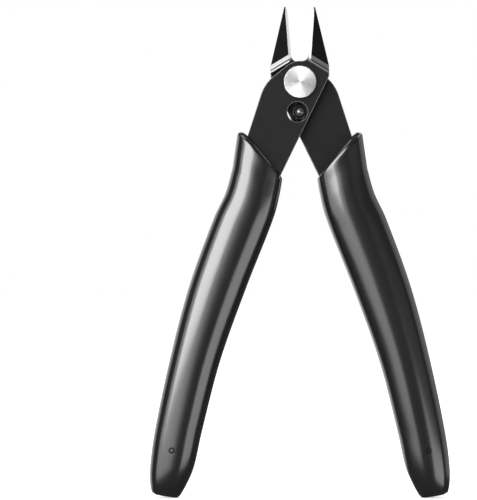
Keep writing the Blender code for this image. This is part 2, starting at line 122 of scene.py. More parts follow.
soft_box("key_box", -30, 16, 0.6, 38, 32, 5.8)
soft_box("key_glow", -34, 9, 0.65, 62, 50, 1.7)
soft_box("low_box", 42, -14, 0.5, 46, 18, 2.0)
soft_box("low_glow", 40, 5, 0.55, 46, 16, 0.12)
soft_box("high_box", -62, 56, 0.7, 40, 26, 1.6)
soft_box("right_cloth", 112, 10, 0.7, 56, 40, 0.5)
soft_box("left_cloth", -142, 3, 0.9, 62, 46, 1.0)
soft_box("top_cloth", 0, 75, 0.9, 60, 30, 0.2)
soft_box("rim_box", 95, 44, 0.7, 40, 20, 2.0)
soft_box("back_box", 168, 34, 0.8, 50, 26, 2.2)


# ---------------------------------------------------------------------------------------------
# The two steel halves are stamped from plate, with a long tang for the grip below and a jaw above
# that takes the thickness of both plates. They are blackened, and the jaw's slopes and cutting
# edges are ground bright afterwards.

PIVOT = Vector((0, 0, 0.1041))
PLATE_GAP = 0.0003
OUTSIDE = 0.00265
EDGE_ROLL = 0.00013
HUB_RADIUS = 0.0053
SHOULDER_ANGLE = radians(39)
SHOULDER_BLEND = 0.0098
OUTER_EDGE_OFFSET = 0.00835
OUTER_EDGE_ANGLE = radians(17.9)
INNER_EDGE_OFFSET = 0.0059
INNER_EDGE_ANGLE = radians(26)
NECK_HALF_WIDTH = 0.0073
NECK_CORNER = 0.0012
NOTCH_CORNER = 0.0017
WEB_WIDTH = 0.0005
WEB_INSET = 0.00008
JAW_HALF_GAP = 0.0021
HEEL_SLOPE = radians(31)
HEEL_CLEARANCE = 0.0004
HEEL_OFFSET = HUB_RADIUS + HEEL_CLEARANCE
JAW_REACH = 0.0191
RADIAL_EDGE = 0.0022
CLOSING_ANGLE = radians(20)
TIP_WIDTH = 0.0005
ROOT_PROUD = 0.00005
STRIP_WIDTH = 0.00042
STRIP_ANGLE = radians(36)
LEDGE_WIDTH = 0.00028
LEDGE_ANGLE = radians(4)
BAND_WIDTH = 0.00098
BAND_ANGLE = radians(30)
FACE_ANGLE = radians(14.6)
FLUSH_WIDTH = 0.0006
FLUSH_DEPTH = 0.00025
FLUSH_TIP_WIDTH = 0.00025
RELIEF_ANGLE = radians(14)
RELIEF_SHARE = 0.7
BACK_CHAMFER = 0.0005
JAW_EDGE = 0.00005
KEEN_ANGLE = radians(12)
CUTTER_REACH = 0.004
CUTTER_SKIN = 0.00001
SHANK_RADIUS = 0.0023
RUNNING_CLEARANCE = 0.0001
BORE_CHAMFER = 0.0001
CUT_PAST = 0.001
SPRING_DROP = 0.00745
COIL_RADIUS = 0.0016
WIRE_RADIUS = 0.0002
LEG_LENGTH = 0.0032
LEG_ANGLE = radians(30)
LEG_DEPTH = 0.00075
LEG_CLEARANCE = 0.0002
POCKET_OFFSET = SPRING_DROP * tan(CLOSING_ANGLE / 4)
COIL_CLEARANCE = 0.0001
POCKET_RADIUS = COIL_RADIUS + WIRE_RADIUS + POCKET_OFFSET + COIL_CLEARANCE
POCKET_DEPTH = 0.0013
POCKET_CHAMFER = 0.00014
NECK_DROP = 0.0215
NECK_WALL = 0.00055
NECK_FLARE = 0.0008
FOOT_SPREAD = 0.0335
EDGE_DROP = 0.0155
MOUTH_INNER = (0.0042, -0.0243)
TANG_START = 0.03
TANG_END = 0.86
TANG_TOP_WIDTH = 0.0088
TANG_END_WIDTH = 0.0052
TANG_CORNER = 0.0012
TANG_CORNER_DROP = 0.0013
TANG_STEPS = 14
CORNER_STEPS = 5
HUB_STEPS = 26
SHOULDER_STEPS = 12
NOTCH_STEPS = 10
FRONT = -1
REAR = 1


def plate_edge(offset, angle, height):
    """How far out a straight plate edge is, at a height from the rivet axis."""
    return (offset - height * sin(angle)) / cos(angle)


def crossing(first, first_way, second, second_way):
    """The point where two lines in the XZ plane meet."""
    (ax, az), (dx, dz), (bx, bz), (ex, ez) = first, first_way, second, second_way
    along = ((bx - ax) * ez - (bz - az) * ex) / (dx * ez - dz * ex)
    return ax + dx * along, az + dz * along


def rounded(corner, way_in, way_out, radius, steps):
    """An arc that rounds the corner between two directions of travel."""
    turn = atan2(way_in[0] * way_out[1] - way_in[1] * way_out[0],
                 way_in[0] * way_out[0] + way_in[1] * way_out[1])
    reach = radius * tan(abs(turn) / 2)
    side = copysign(1, turn)
    start = (corner[0] - way_in[0] * reach, corner[1] - way_in[1] * reach)
    centre = (start[0] - way_in[1] * radius * side, start[1] + way_in[0] * radius * side)
    points = []
    for k in range(steps + 1):
        angle = turn * k / steps
        dx, dz = start[0] - centre[0], start[1] - centre[1]
        points.append((centre[0] + dx * cos(angle) - dz * sin(angle),
                       centre[1] + dx * sin(angle) + dz * cos(angle)))
    return points


def smooth_between(stations, share):
    """Smooth values between stations, whose first entry is the share along."""
    k = 0
    while k < len(stations) - 2 and share > stations[k + 1][0]:
        k += 1
    before, start = stations[max(k - 1, 0)], stations[k]
    end, after = stations[k + 1], stations[min(k + 2, len(stations) - 1)]
    length = end[0] - start[0]
    t = (share - start[0]) / length
    values = []
    for column in range(1, len(start)):
        slope_in = (end[column] - before[column]) / (end[0] - before[0]) * length
        slope_out = (after[column] - start[column]) / (after[0] - start[0]) * length
        values.append((2 * t**3 - 3 * t**2 + 1) * start[column] + (t**3 - 2 * t**2 + t) * slope_in
                      + (3 * t**2 - 2 * t**3) * end[column] + (t**3 - t**2) * slope_out)
    return values


def handle_at(share):
    """Centre out from the middle, height over the rivet axis, width and half thickness of a handle."""
    inner = -plate_edge(INNER_EDGE_OFFSET, -INNER_EDGE_ANGLE, -NECK_DROP)
    outer = plate_edge(OUTER_EDGE_OFFSET, OUTER_EDGE_ANGLE, -NECK_DROP)
    neck = outer - inner + 2 * NECK_WALL
    stations = [
        (0.000, 0.027, neck, 0.00195),
        (0.075, 0.085, neck + NECK_FLARE, 0.0021),
        (0.150, 0.179, 0.0150, 0.0022),
        (0.360, 0.455, 0.0145, 0.00225),
        (0.580, 0.693, 0.0128, 0.00215),
        (0.800, 0.873, 0.0119, 0.00195),
        (0.910, 0.941, 0.0110, 0.00175),
        (0.965, 0.981, 0.0089, 0.00125),
        (1.000, 1.000, 0.0064, 0.00045),
    ]
    out, width, wall = smooth_between(stations, share)
    centre = (inner + outer) / 2
    x = centre + (FOOT_SPREAD - centre) * out
    z = (PIVOT.z - NECK_DROP) * (1 - share) - PIVOT.z
    return x, z, width, OUTSIDE + wall


def tang_sides(extra=0.0):
    """The tang's outer side going down and its inner side going up, on the +X side."""
    outer, inner = [], []
    for k in range(TANG_STEPS + 1):
        share = TANG_START + (TANG_END - TANG_START) * k / TANG_STEPS
        half = (TANG_TOP_WIDTH + (TANG_END_WIDTH - TANG_TOP_WIDTH) * k / TANG_STEPS) / 2 + extra
        x, z, _, _ = handle_at(share)
        outer.append((x + half, z))
        if k > 1:
            inner.append((x - half, z))
    x, z, _, _ = handle_at(TANG_END)
    low = z - TANG_CORNER_DROP
    foot = rounded((x + TANG_END_WIDTH / 2, low), (0, -1), (-1, 0), TANG_CORNER, CORNER_STEPS)
    foot += rounded((x - TANG_END_WIDTH / 2, low), (-1, 0), (0, 1), TANG_CORNER, CORNER_STEPS)
    return outer, foot, inner[::-1]


def heel_height(x, along=0.0):
    """Height over the rivet axis of a line square to the jaw's slopes, this far above the heel."""
    return (HEEL_OFFSET + along - x * sin(HEEL_SLOPE)) / cos(HEEL_SLOPE)


def half_outline():
    """Plate and tang of the half whose handle is on the -X side and whose jaw is on the +X side."""
    outline = []
    for k in range(HUB_STEPS + 1):
        angle = SHOULDER_ANGLE * k / HUB_STEPS
        outline.append((-HUB_RADIUS * sin(angle), HUB_RADIUS * cos(angle)))
    shoulder_way = (-cos(SHOULDER_ANGLE), -sin(SHOULDER_ANGLE))
    outer_way = (-sin(OUTER_EDGE_ANGLE), -cos(OUTER_EDGE_ANGLE))
    outer_point = (-plate_edge(OUTER_EDGE_OFFSET, OUTER_EDGE_ANGLE, 0), 0)
    corner = crossing(outline[-1], shoulder_way, outer_point, outer_way)
    outline += rounded(corner, shoulder_way, outer_way, SHOULDER_BLEND, SHOULDER_STEPS)
    outline.append((-plate_edge(OUTER_EDGE_OFFSET, OUTER_EDGE_ANGLE, -EDGE_DROP), -EDGE_DROP))
    outer, foot, inner = tang_sides()
    outline += [(-x, z) for x, z in outer + foot + inner]
    drop = MOUTH_INNER[1]
    outline.append((plate_edge(INNER_EDGE_OFFSET, -INNER_EDGE_ANGLE, drop), drop))
    inner_way = (sin(INNER_EDGE_ANGLE), cos(INNER_EDGE_ANGLE))
    neck = crossing(outline[-1], inner_way, (NECK_HALF_WIDTH, 0), (0, 1))
    outline += rounded(neck, inner_way, (0, 1), NECK_CORNER, CORNER_STEPS)
    outline.append((NECK_HALF_WIDTH, heel_height(NECK_HALF_WIDTH, ROOT_PROUD)))
    web = JAW_HALF_GAP + WEB_WIDTH
    outline.append((web, heel_height(web, ROOT_PROUD)))
    outline += rounded((JAW_HALF_GAP + WEB_INSET, HUB_RADIUS), (0, -1), (-1, 0), NOTCH_CORNER,
                       NOTCH_STEPS)
    return outline


def inset(outline, distance):
    """The outline moved inwards by a distance."""
    area = sum(a[0] * b[1] - b[0] * a[1] for a, b in zip(outline, outline[1:] + outline[:1]))
    side = copysign(1, area)
    moved = []
    for before, here, after in zip(outline[-1:] + outline[:-1], outline, outline[1:] + outline[:1]):
        way_in = (Vector(here) - Vector(before)).normalized()
        way_out = (Vector(after) - Vector(here)).normalized()
        first = Vector((-way_in.y, way_in.x)) * side
        second = Vector((-way_out.y, way_out.x)) * side
        mitre = (first + second) / (1 + first.dot(second))
        moved.append(tuple(Vector(here) + mitre * distance))
    return moved


def noise(nodes, links, coordinates, scale, detail=3, roughness=0.5, stretch=(1, 1, 1), turn=(0, 0, 0)):
    """Noise on Object coordinates, drawn out along an axis where it is a grinding grain."""
    mapping = nodes.new("ShaderNodeMapping")
    mapping.inputs["Scale"].default_value = stretch
    mapping.inputs["Rotation"].default_value = turn
    links.new(coordinates.outputs["Object"], mapping.inputs["Vector"])
    texture = nodes.new("ShaderNodeTexNoise")
    texture.inputs["Scale"].default_value = scale
    texture.inputs["Detail"].default_value = detail
    texture.inputs["Roughness"].default_value = roughness
    links.new(mapping.outputs["Vector"], texture.inputs["Vector"])
    return texture


def spread(nodes, links, value, low, high):
    """The middle of a noise's range spread from one value to another."""
    ranged = nodes.new("ShaderNodeMapRange")
    for socket, number in zip(("From Min", "From Max", "To Min", "To Max"), (0.3, 0.7, low, high)):
        ranged.inputs[socket].default_value = number
    links.new(value, ranged.inputs["Value"])
    return ranged.outputs["Result"]


def finish(name, dark, light, metallic, roughness, grain, bump, patch=180, stretch=(1, 1, 1),
           turn=(0, 0, 0), **uniform):
    """A finish whose colour and roughness wander in patches and whose grain stands in relief."""
    material = bpy.data.materials.new(name)
    material.use_nodes = True
    nodes, links = material.node_tree.nodes, material.node_tree.links
    shader = nodes["Principled BSDF"]
    shader.inputs["Metallic"].default_value = metallic
    for socket, value in uniform.items():
        shader.inputs[socket.replace("_", " ")].default_value = value
    coordinates = nodes.new("ShaderNodeTexCoord")
    patches = noise(nodes, links, coordinates, patch, detail=4, roughness=0.6)
    fine = noise(nodes, links, coordinates, grain, detail=2, stretch=stretch, turn=turn)
    both = nodes.new("ShaderNodeMix")
    both.data_type = "FLOAT"
    both.inputs["Factor"].default_value = 0.4
    links.new(patches.outputs["Fac"], both.inputs["A"])
    links.new(fine.outputs["Fac"], both.inputs["B"])
    colour = spread(nodes, links, both.outputs["Result"], 0, 1)
    shade = nodes.new("ShaderNodeMix")
    shade.data_type = "RGBA"
    shade.inputs[6].default_value = (*dark, 1)
    shade.inputs[7].default_value = (*light, 1)
    links.new(colour, shade.inputs["Factor"])
    links.new(shade.outputs[2], shader.inputs["Base Color"])
    sheen = spread(nodes, links, both.outputs["Result"], *roughness)
    links.new(sheen, shader.inputs["Roughness"])
    relief = nodes.new("ShaderNodeBump")
    relief.inputs["Strength"].default_value = 0.6
    relief.inputs["Distance"].default_value = bump
    links.new(fine.outputs["Fac"], relief.inputs["Height"])
    links.new(relief.outputs["Normal"], shader.inputs["Normal"])
    return material


black_oxide = finish("black_oxide", (0.0068, 0.0068, 0.007), (0.0092, 0.0092, 0.0094), 0.0, (0.42, 0.52),
                     9000, 0.000002, Specular_IOR_Level=0.1)
# Lighter grey metal on the rolled edges and lower cutting edges: its lighter colour is a painted highlight
# along the edges.
painted_edge_highlight = finish("painted_edge_highlight", (0.14, 0.14, 0.142), (0.24, 0.24, 0.242), 0.7, (0.38, 0.5),
                     7000, 0.000003)
ground_slope = finish("ground_slope", (0.50, 0.50, 0.50), (0.62, 0.62, 0.62), 1.0, (0.26, 0.36),
                      3000, 0.000004, stretch=(1, 1, 6), turn=(0, HEEL_SLOPE, 0))
bright_edge = finish("bright_edge", (0.42, 0.42, 0.42), (0.48, 0.48, 0.48), 0.3, (0.36, 0.46),
                     3000, 0.000002, stretch=(1, 1, 0.1), Specular_IOR_Level=0.3)
jaw_black = finish("jaw_black", (0.0028, 0.0028, 0.0028), (0.0042, 0.0042, 0.0042), 0.0, (0.42, 0.52),
                   9000, 0.000002, stretch=(1, 1, 0.2), Specular_IOR_Level=0.04)
steel_finishes = (black_oxide, painted_edge_highlight, ground_slope, bright_edge, jaw_black)


def closed_rings(work, rings, finish_at):
    """Bands of faces between rings of points, with both ends closed."""
    for level, (first, second) in enumerate(zip(rings, rings[1:])):
        for k in range(len(first)):
            after = (k + 1) % len(first)
            face = work.faces.new((first[k], first[after], second[after], second[k]))
            face.material_index = finish_at(level, k)
    work.faces.new(rings[0])
    work.faces.new(rings[-1][::-1])
    bmesh.ops.recalc_face_normals(work, faces=work.faces)
    return work


def rolled_plate(outline, front, back, roll):
    """A plate between two Y values whose edges are rolled over, as stamping and tumbling leave them."""
    work = bmesh.new()
    steps = 3
    profile = [(front + roll * (1 - cos(pi / 2 * k / steps)), roll * (1 - sin(pi / 2 * k / steps)))
               for k in range(steps + 1)]
    profile += [(back - roll * (1 - sin(pi / 2 * k / steps)), roll * (1 - cos(pi / 2 * k / steps)))
                for k in range(steps + 1)]
    rings = [[work.verts.new((x, y, z)) for x, z in inset(outline, amount)]
             for y, amount in profile]
    # The rolled edges take the painted edge highlight and the plate's side wall takes the black oxide.
    return closed_rings(work, rings, lambda level, k: 0 if level == steps else 1)


def jaw_front(along):
    """Y of the jaw's front at a distance above the heel."""
    stretches = ((STRIP_WIDTH, STRIP_ANGLE), (LEDGE_WIDTH, LEDGE_ANGLE), (BAND_WIDTH, BAND_ANGLE),
                 (JAW_REACH, FACE_ANGLE))
    y = -OUTSIDE - ROOT_PROUD
    for width, angle in stretches:
        step = min(along, width)
        y += step * tan(angle)
        along -= step
    return y


def edge_at(height):
    """The cutting edge's distance from the centre plane at a height over the rivet axis."""
    root = heel_height(JAW_HALF_GAP)
    straight = JAW_REACH - RADIAL_EDGE
    if height > straight:
        return height * tan(CLOSING_ANGLE / 2)
    rise = (height - root) / (straight - root)
    return JAW_HALF_GAP + (straight * tan(CLOSING_ANGLE / 2) - JAW_HALF_GAP) * rise


def jaw_ring(inner, outer, relief, flush):
    """Six points round the jaw between its cutting edge and its outer side, both (x, z) points."""
    back = OUTSIDE + ROOT_PROUD
    (ax, az), (bx, bz) = inner, outer
    share = flush / (bx - ax)
    strip = (ax + flush, az + (bz - az) * share)
    depth = FLUSH_DEPTH * flush / FLUSH_WIDTH
    chamfer = min(BACK_CHAMFER, (bx - ax) / 4)
    front = [jaw_front(x * sin(HEEL_SLOPE) + z * cos(HEEL_SLOPE) - HEEL_OFFSET)
             for x, z in (outer, strip, inner)]
    away = min(relief * (back - front[2]), (bx - ax) * RELIEF_SHARE)
    lower = (bz - az) * away / (bx - ax)
    side = (bz - az) * chamfer / (bx - ax)
    return [
        (bx, front[0], bz), (strip[0], front[1], strip[1]), (ax, front[2] + depth, az),
        (ax + away, back, az + lower), (bx - chamfer, back, bz - side), (bx, back - 2 * chamfer, bz),
    ]


def jaw_block():
    """The +X jaw: slopes above the heel, a face that leans back, a flush strip and a relief."""
    rings = []
    slopes = (0, STRIP_WIDTH, LEDGE_WIDTH, BAND_WIDTH)
    along = 0.0
    for width in slopes:
        along += width
        x = JAW_HALF_GAP
        for _ in range(3):
            x = edge_at(heel_height(x, along))
        inner = (x, heel_height(x, along))
        outer = (NECK_HALF_WIDTH, heel_height(NECK_HALF_WIDTH, along))
        relief = tan(RELIEF_ANGLE) * along / sum(slopes)
        rings.append(jaw_ring(inner, outer, relief, FLUSH_WIDTH))
    bend = outer[1]
    tip_out = edge_at(JAW_REACH) + TIP_WIDTH
    for height, flush in ((JAW_REACH - RADIAL_EDGE, FLUSH_WIDTH), (JAW_REACH, FLUSH_TIP_WIDTH)):
        rise = (height - bend) / (JAW_REACH - bend)
        outer = (NECK_HALF_WIDTH + (tip_out - NECK_HALF_WIDTH) * rise, height)
        rings.append(jaw_ring((edge_at(height), height), outer, tan(RELIEF_ANGLE), flush))
    work = bmesh.new()
    rings = [[work.verts.new(point) for point in ring] for ring in rings]
    finishes = []
    for level, front_finish in enumerate((2, 0, 2, 4, 4)):
        # The lower two levels of the flush strip and relief take the painted edge highlight, and the upper
        # ones the ground bright steel.
        edge_finish = 1 if level < 2 else 3
        finishes.append((front_finish, edge_finish, edge_finish, 0, 0, 0))
    return closed_rings(work, rings, lambda level, k: finishes[level][k])


def bevelled(work, width, keep):
    """Small bevels on every edge that is not kept keen."""
    edges = [edge for edge in work.edges if edge.calc_face_angle(0) > KEEN_ANGLE and not keep(edge)]
    bmesh.ops.bevel(work, geom=edges, offset=width, offset_type="OFFSET", segments=2, profile=0.5,
                    affect="EDGES", clamp_overlap=True, material=-1, loop_slide=True)
    return work


def on_cutting_edge(edge):
    """True for an edge between the flush strip and the relief."""
    return all(face.material_index in (1, 3) for face in edge.link_faces)


def slope_cutter(depth):
    """What lies in front of the jaw's slopes, which the corner of the notch must not stand proud of."""
    work = bmesh.new()
    levels = [0, STRIP_WIDTH, STRIP_WIDTH + LEDGE_WIDTH, STRIP_WIDTH + LEDGE_WIDTH + BAND_WIDTH,
              CUTTER_REACH]
    profile = [(along, jaw_front(along) + depth) for along in levels]
    profile += [(levels[-1], -2 * OUTSIDE), (0, -2 * OUTSIDE)]
    up = Vector((sin(HEEL_SLOPE), 0, cos(HEEL_SLOPE)))
    across = Vector((cos(HEEL_SLOPE), 0, -sin(HEEL_SLOPE)))
    ends = [[work.verts.new(up * (HEEL_OFFSET + along) + across * reach + Vector((0, y, 0)))
             for along, y in profile] for reach in (-HUB_RADIUS, 2 * HUB_RADIUS)]
    return closed_rings(work, ends, lambda level, k: 1)


def placed(work, name, shift=PIVOT, mirror=False):
    """The work as an object whose place is in its mesh."""
    if mirror:
        bmesh.ops.scale(work, vec=(-1, 1, 1), verts=work.verts)
        bmesh.ops.reverse_faces(work, faces=work.faces)
    bmesh.ops.translate(work, vec=shift, verts=work.verts)
    mesh = bpy.data.meshes.new(name)
    work.to_mesh(mesh)
    work.free()
    for material in steel_finishes:
        mesh.materials.append(material)
    obj = bpy.data.objects.new(name, mesh)
    bpy.context.scene.collection.objects.link(obj)
    return obj


def mended(obj):
    """The object's mesh with doubles merged, slivers dissolved and pinholes from a boolean closed."""
    work = bmesh.new()
    work.from_mesh(obj.data)
    bmesh.ops.remove_doubles(work, verts=work.verts, dist=1e-7)
    bmesh.ops.dissolve_degenerate(work, edges=work.edges, dist=1e-7)
    bmesh.ops.holes_fill(work, edges=[edge for edge in work.edges if edge.is_boundary], sides=6)
    work.to_mesh(obj.data)
    work.free()
    return obj


def settled(obj):
    """The object with its modifiers worked into a plain mesh."""
    evaluated = obj.evaluated_get(bpy.context.evaluated_depsgraph_get())
    mesh = bpy.data.meshes.new_from_object(evaluated, preserve_all_data_layers=True,
                                           depsgraph=bpy.context.evaluated_depsgraph_get())
    obj.modifiers.clear()
    obj.data = mesh
    mesh.name = obj.name
    return obj


def joined_or_cut(obj, other, operation):
    """A boolean with another object, which is used up."""
    modifier = obj.modifiers.new("shape", "BOOLEAN")
    modifier.operation = operation
    modifier.object = other
    modifier.solver = "EXACT"
    settled(obj)
    bpy.data.objects.remove(other)
    return mended(obj)


def drill(name, radius, front, back, x, z, chamfer):
    """A cutter for a hole along Y whose mouth at the front is chamfered."""
    work = bmesh.new()
    steps = 64
    profile = [(radius + chamfer * 2, front - chamfer), (radius, front + chamfer), (radius, back)]
    rings = []
    for size, y in profile:
        rings.append([work.verts.new((x + size * sin(2 * pi * k / steps), y,
                                      z + size * cos(2 * pi * k / steps))) for k in range(steps)])
    return placed(closed_rings(work, rings, lambda level, k: 1), name)


def leg_groove(layer):
    """A cutter for the groove that holds the spring's leg in the half's inner face."""
    work = bmesh.new()
    wide = WIRE_RADIUS + LEG_CLEARANCE
    low, high = sorted((0, layer * (PLATE_GAP / 2 + LEG_DEPTH + wide)))
    size = Matrix.Diagonal((2 * wide, high - low, LEG_LENGTH + LEG_CLEARANCE, 1))
    centre = Matrix.Translation((COIL_RADIUS * layer, (low + high) / 2, size[2][2] / 2))
    bmesh.ops.create_cube(work, size=1, matrix=centre @ size)
    turn = Matrix.Rotation(atan2(layer * sin(LEG_ANGLE), -cos(LEG_ANGLE)), 4, "Y")
    bmesh.ops.transform(work, matrix=Matrix.Translation((0, 0, -SPRING_DROP)) @ turn, verts=work.verts)
    return placed(work, "leg_groove")


def steel_half(name, layer, body):
    """One stamped half: plate, tang and jaw in one piece of steel."""
    mirror = layer == REAR
    front, back = sorted((layer * PLATE_GAP / 2, layer * OUTSIDE))
    half = placed(rolled_plate(half_outline(), front, back, EDGE_ROLL), name + "_steel", mirror=mirror)
    if layer == FRONT:
        cutter = placed(slope_cutter(FLUSH_DEPTH + CUTTER_SKIN), "slope_cutter", mirror=mirror)
        joined_or_cut(half, cutter, "DIFFERENCE")
    jaw = placed(bevelled(jaw_block(), JAW_EDGE, on_cutting_edge), name + "_jaw", mirror=mirror)
    joined_or_cut(half, jaw, "UNION")
    bore = drill("bore", SHANK_RADIUS + RUNNING_CLEARANCE, front - CUT_PAST, back + CUT_PAST, 0, 0,
                 BORE_CHAMFER)
    joined_or_cut(half, bore, "DIFFERENCE")
    if layer == FRONT:
        pocket = drill("pocket", POCKET_RADIUS, front, back + CUT_PAST, -POCKET_OFFSET, -SPRING_DROP,
                       POCKET_CHAMFER)
    else:
        pocket = drill("pocket", POCKET_RADIUS, front, front + POCKET_DEPTH, POCKET_OFFSET,
                       -SPRING_DROP, POCKET_CHAMFER)
    joined_or_cut(half, pocket, "DIFFERENCE")
    joined_or_cut(half, leg_groove(layer), "DIFFERENCE")
    half.data.shade_smooth()
    half.data.set_sharp_from_angle(angle=radians(40))
    weighted = half.modifiers.new("even", "WEIGHTED_NORMAL")
    weighted.keep_sharp = True
    settled(half)
    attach(half, body)
    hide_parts(name)
    return half


steel_half("front_half", FRONT, "front_body")
steel_half("rear_half", REAR, "rear_body")


# ---------------------------------------------------------------------------------------------
# The rivet is a turned steel pin with a wide head, its face spun to fine rings. The two halves
# swing on its shank, and its tail is staked into a steel collar at the back.

HEAD_RADIUS = 0.0041
HEAD_THICKNESS = 0.0006
HEAD_CHAMFER = 0.00022
HEAD_CROWN = 0.00004
RING_PITCH = 0.0001
RING_DEPTH = 0.0000025
COLLAR_RADIUS = 0.0036
COLLAR_THICKNESS = 0.0006
TAIL_RADIUS = 0.0016
RESTING_GAP = 0.0003
TAIL_CORNER = 0.0003
TAIL_EDGE = 0.0001
HEAD_UNDER_EDGE = 0.00006
STAKE_RADIUS = 0.0006
STAKE_DEPTH = 0.00035
COLLAR_FRONT_ROUND = 0.00012
COLLAR_BACK_ROUND = 0.0002
COLLAR_GROOVES = 12


def tree_with(name, inputs):
    """An empty Geometry Nodes tree with its named inputs, its nodes, links and input sockets."""
    tree = bpy.data.node_groups.new(name, "GeometryNodeTree")
    for label, kind in inputs:
        tree.interface.new_socket(name=label, in_out="INPUT", socket_type="NodeSocket" + kind)
    tree.interface.new_socket(name="Piece", in_out="OUTPUT", socket_type="NodeSocketGeometry")
    return tree, tree.nodes, tree.links, tree.nodes.new("NodeGroupInput").outputs


def ended(tree, geometry, given):
    """The tree with its geometry made real and given its finish."""
    real = tree.nodes.new("GeometryNodeRealizeInstances")
    tree.links.new(geometry, real.inputs["Geometry"])
    finished = tree.nodes.new("GeometryNodeSetMaterial")
    tree.links.new(real.outputs["Geometry"], finished.inputs["Geometry"])
    tree.links.new(given["Finish"], finished.inputs["Material"])
    result = tree.nodes.new("NodeGroupOutput")
    tree.links.new(finished.outputs["Geometry"], result.inputs["Piece"])
    return tree


def skin_tree():
    """Rings with a centre, a half width, a half depth and a squareness become one closed skin."""
    tree, nodes, links, given = tree_with("skin_over_rings", (
        ("Rings", "Geometry"), ("Points round", "Int"), ("Finish", "Material")))

    def plug(socket, value):
        if isinstance(value, bpy.types.NodeSocket):
            links.new(value, socket)
        else:
            socket.default_value = value

    def sum_of(operation, *values):
        node = nodes.new("ShaderNodeMath")
        node.operation = operation
        for socket, value in zip(node.inputs, values):
            plug(socket, value)
        return node.outputs["Value"]

    def vector(operation, first, second):
        node = nodes.new("ShaderNodeVectorMath")
        node.operation = operation
        plug(node.inputs[0], first)
        plug(node.inputs["Scale"] if operation == "SCALE" else node.inputs[1], second)
        return node.outputs["Vector"]

    count = nodes.new("GeometryNodeAttributeDomainSize")
    links.new(given["Rings"], count.inputs["Geometry"])
    columns = sum_of("ADD", given["Points round"], 1)
    grid = nodes.new("GeometryNodeMeshGrid")
    links.new(count.outputs["Point Count"], grid.inputs["Vertices X"])
    links.new(columns, grid.inputs["Vertices Y"])
    index = nodes.new("GeometryNodeInputIndex").outputs["Index"]
    ring = sum_of("FLOOR", sum_of("DIVIDE", sum_of("ADD", index, 0.5), columns))
    step = sum_of("ROUND", sum_of("SUBTRACT", index, sum_of("MULTIPLY", ring, columns)))
    wrapped = sum_of("ADD", sum_of("FLOORED_MODULO", step, given["Points round"]), 0.5)
    angle = sum_of("DIVIDE", sum_of("MULTIPLY", wrapped, 2 * pi), given["Points round"])

    def of_ring(name, kind):
        named = nodes.new("GeometryNodeInputNamedAttribute")
        named.data_type = kind
        named.inputs["Name"].default_value = name
        sample = nodes.new("GeometryNodeSampleIndex")
        sample.data_type = kind
        links.new(given["Rings"], sample.inputs["Geometry"])
        links.new(named.outputs["Attribute"], sample.inputs["Value"])
        links.new(ring, sample.inputs["Index"])
        return sample.outputs["Value"]

    exponent = sum_of("DIVIDE", 2, of_ring("squareness", "FLOAT"))

    def swelled(operation):
        wave = sum_of(operation, angle)
        return sum_of("MULTIPLY", sum_of("SIGN", wave),
                      sum_of("POWER", sum_of("ABSOLUTE", wave), exponent))

    wide = vector("SCALE", of_ring("half_width", "FLOAT_VECTOR"), swelled("COSINE"))
    deep = vector("SCALE", of_ring("half_depth", "FLOAT_VECTOR"), swelled("SINE"))
    place = vector("ADD", of_ring("position", "FLOAT_VECTOR"), vector("ADD", wide, deep))
    moved = nodes.new("GeometryNodeSetPosition")
    links.new(grid.outputs["Mesh"], moved.inputs["Geometry"])
    links.new(place, moved.inputs["Position"])
    merged = nodes.new("GeometryNodeMergeByDistance")
    merged.inputs["Distance"].default_value = 1e-7
    links.new(moved.outputs["Geometry"], merged.inputs["Geometry"])
    smooth = nodes.new("GeometryNodeSetShadeSmooth")
    links.new(merged.outputs["Geometry"], smooth.inputs["Geometry"])
    return ended(tree, smooth.outputs["Geometry"], given)


def socket_of(tree, name):
    """The identifier of a tree's named input."""
    return next(item.identifier for item in tree.interface.items_tree
                if item.name == name and item.in_out == "INPUT")


ring_skin = skin_tree()


def painted(obj, material):
    """The object with one finish all over."""
    obj.data.materials.clear()
    obj.data.materials.append(material)
    obj.data.polygons.foreach_set("material_index", [0] * len(obj.data.polygons))
    return obj


def skin(name, rings, points_round, material, sharp=35):
    """A piece skinned over rings given as (centre, half width, half depth, squareness)."""
    mesh = bpy.data.meshes.new(name)
    mesh.from_pydata([tuple(Vector(ring[0]) + PIVOT) for ring in rings], [], [])
    for column, (label, kind) in enumerate((("half_width", "FLOAT_VECTOR"),
                                            ("half_depth", "FLOAT_VECTOR"), ("squareness", "FLOAT"))):
        attribute = mesh.attributes.new(label, kind, "POINT")
        values = [ring[column + 1] for ring in rings]
        if kind == "FLOAT":
            attribute.data.foreach_set("value", values)
        else:
            attribute.data.foreach_set("vector", [part for value in values for part in value])
    obj = bpy.data.objects.new(name, mesh)
    bpy.context.scene.collection.objects.link(obj)
    modifier = obj.modifiers.new("skin", "NODES")
    modifier.node_group = ring_skin
    modifier[socket_of(ring_skin, "Points round")] = points_round
    modifier[socket_of(ring_skin, "Finish")] = material
    painted(settled(obj), material)
    work = bmesh.new()
    work.from_mesh(obj.data)
    bmesh.ops.dissolve_degenerate(work, edges=work.edges, dist=1e-8)
    bmesh.ops.recalc_face_normals(work, faces=work.faces)
    work.to_mesh(obj.data)
    work.free()
    obj.data.set_sharp_from_angle(angle=radians(sharp))
    return obj


def turned_rings(profile, x=0.0, z=0.0):
    """Rings of a turned piece on an axis along Y, from its profile of (radius, y)."""
    return [((x, y, z), (radius, 0, 0), (0, 0, radius), 2) for radius, y in profile]


def quarter(start, end, steps=4, bulge=1):
    """A quarter round from one profile point to another, leaving along the radius or along Y."""
    (ra, ya), (rb, yb) = start, end
    points = []
    for k in range(1, steps):
        angle = pi / 2 * k / steps
        if bulge > 0:
            points.append((ra + (rb - ra) * sin(angle), ya + (yb - ya) * (1 - cos(angle))))
        else:
            points.append((ra + (rb - ra) * (1 - cos(angle)), ya + (yb - ya) * sin(angle)))
    return points


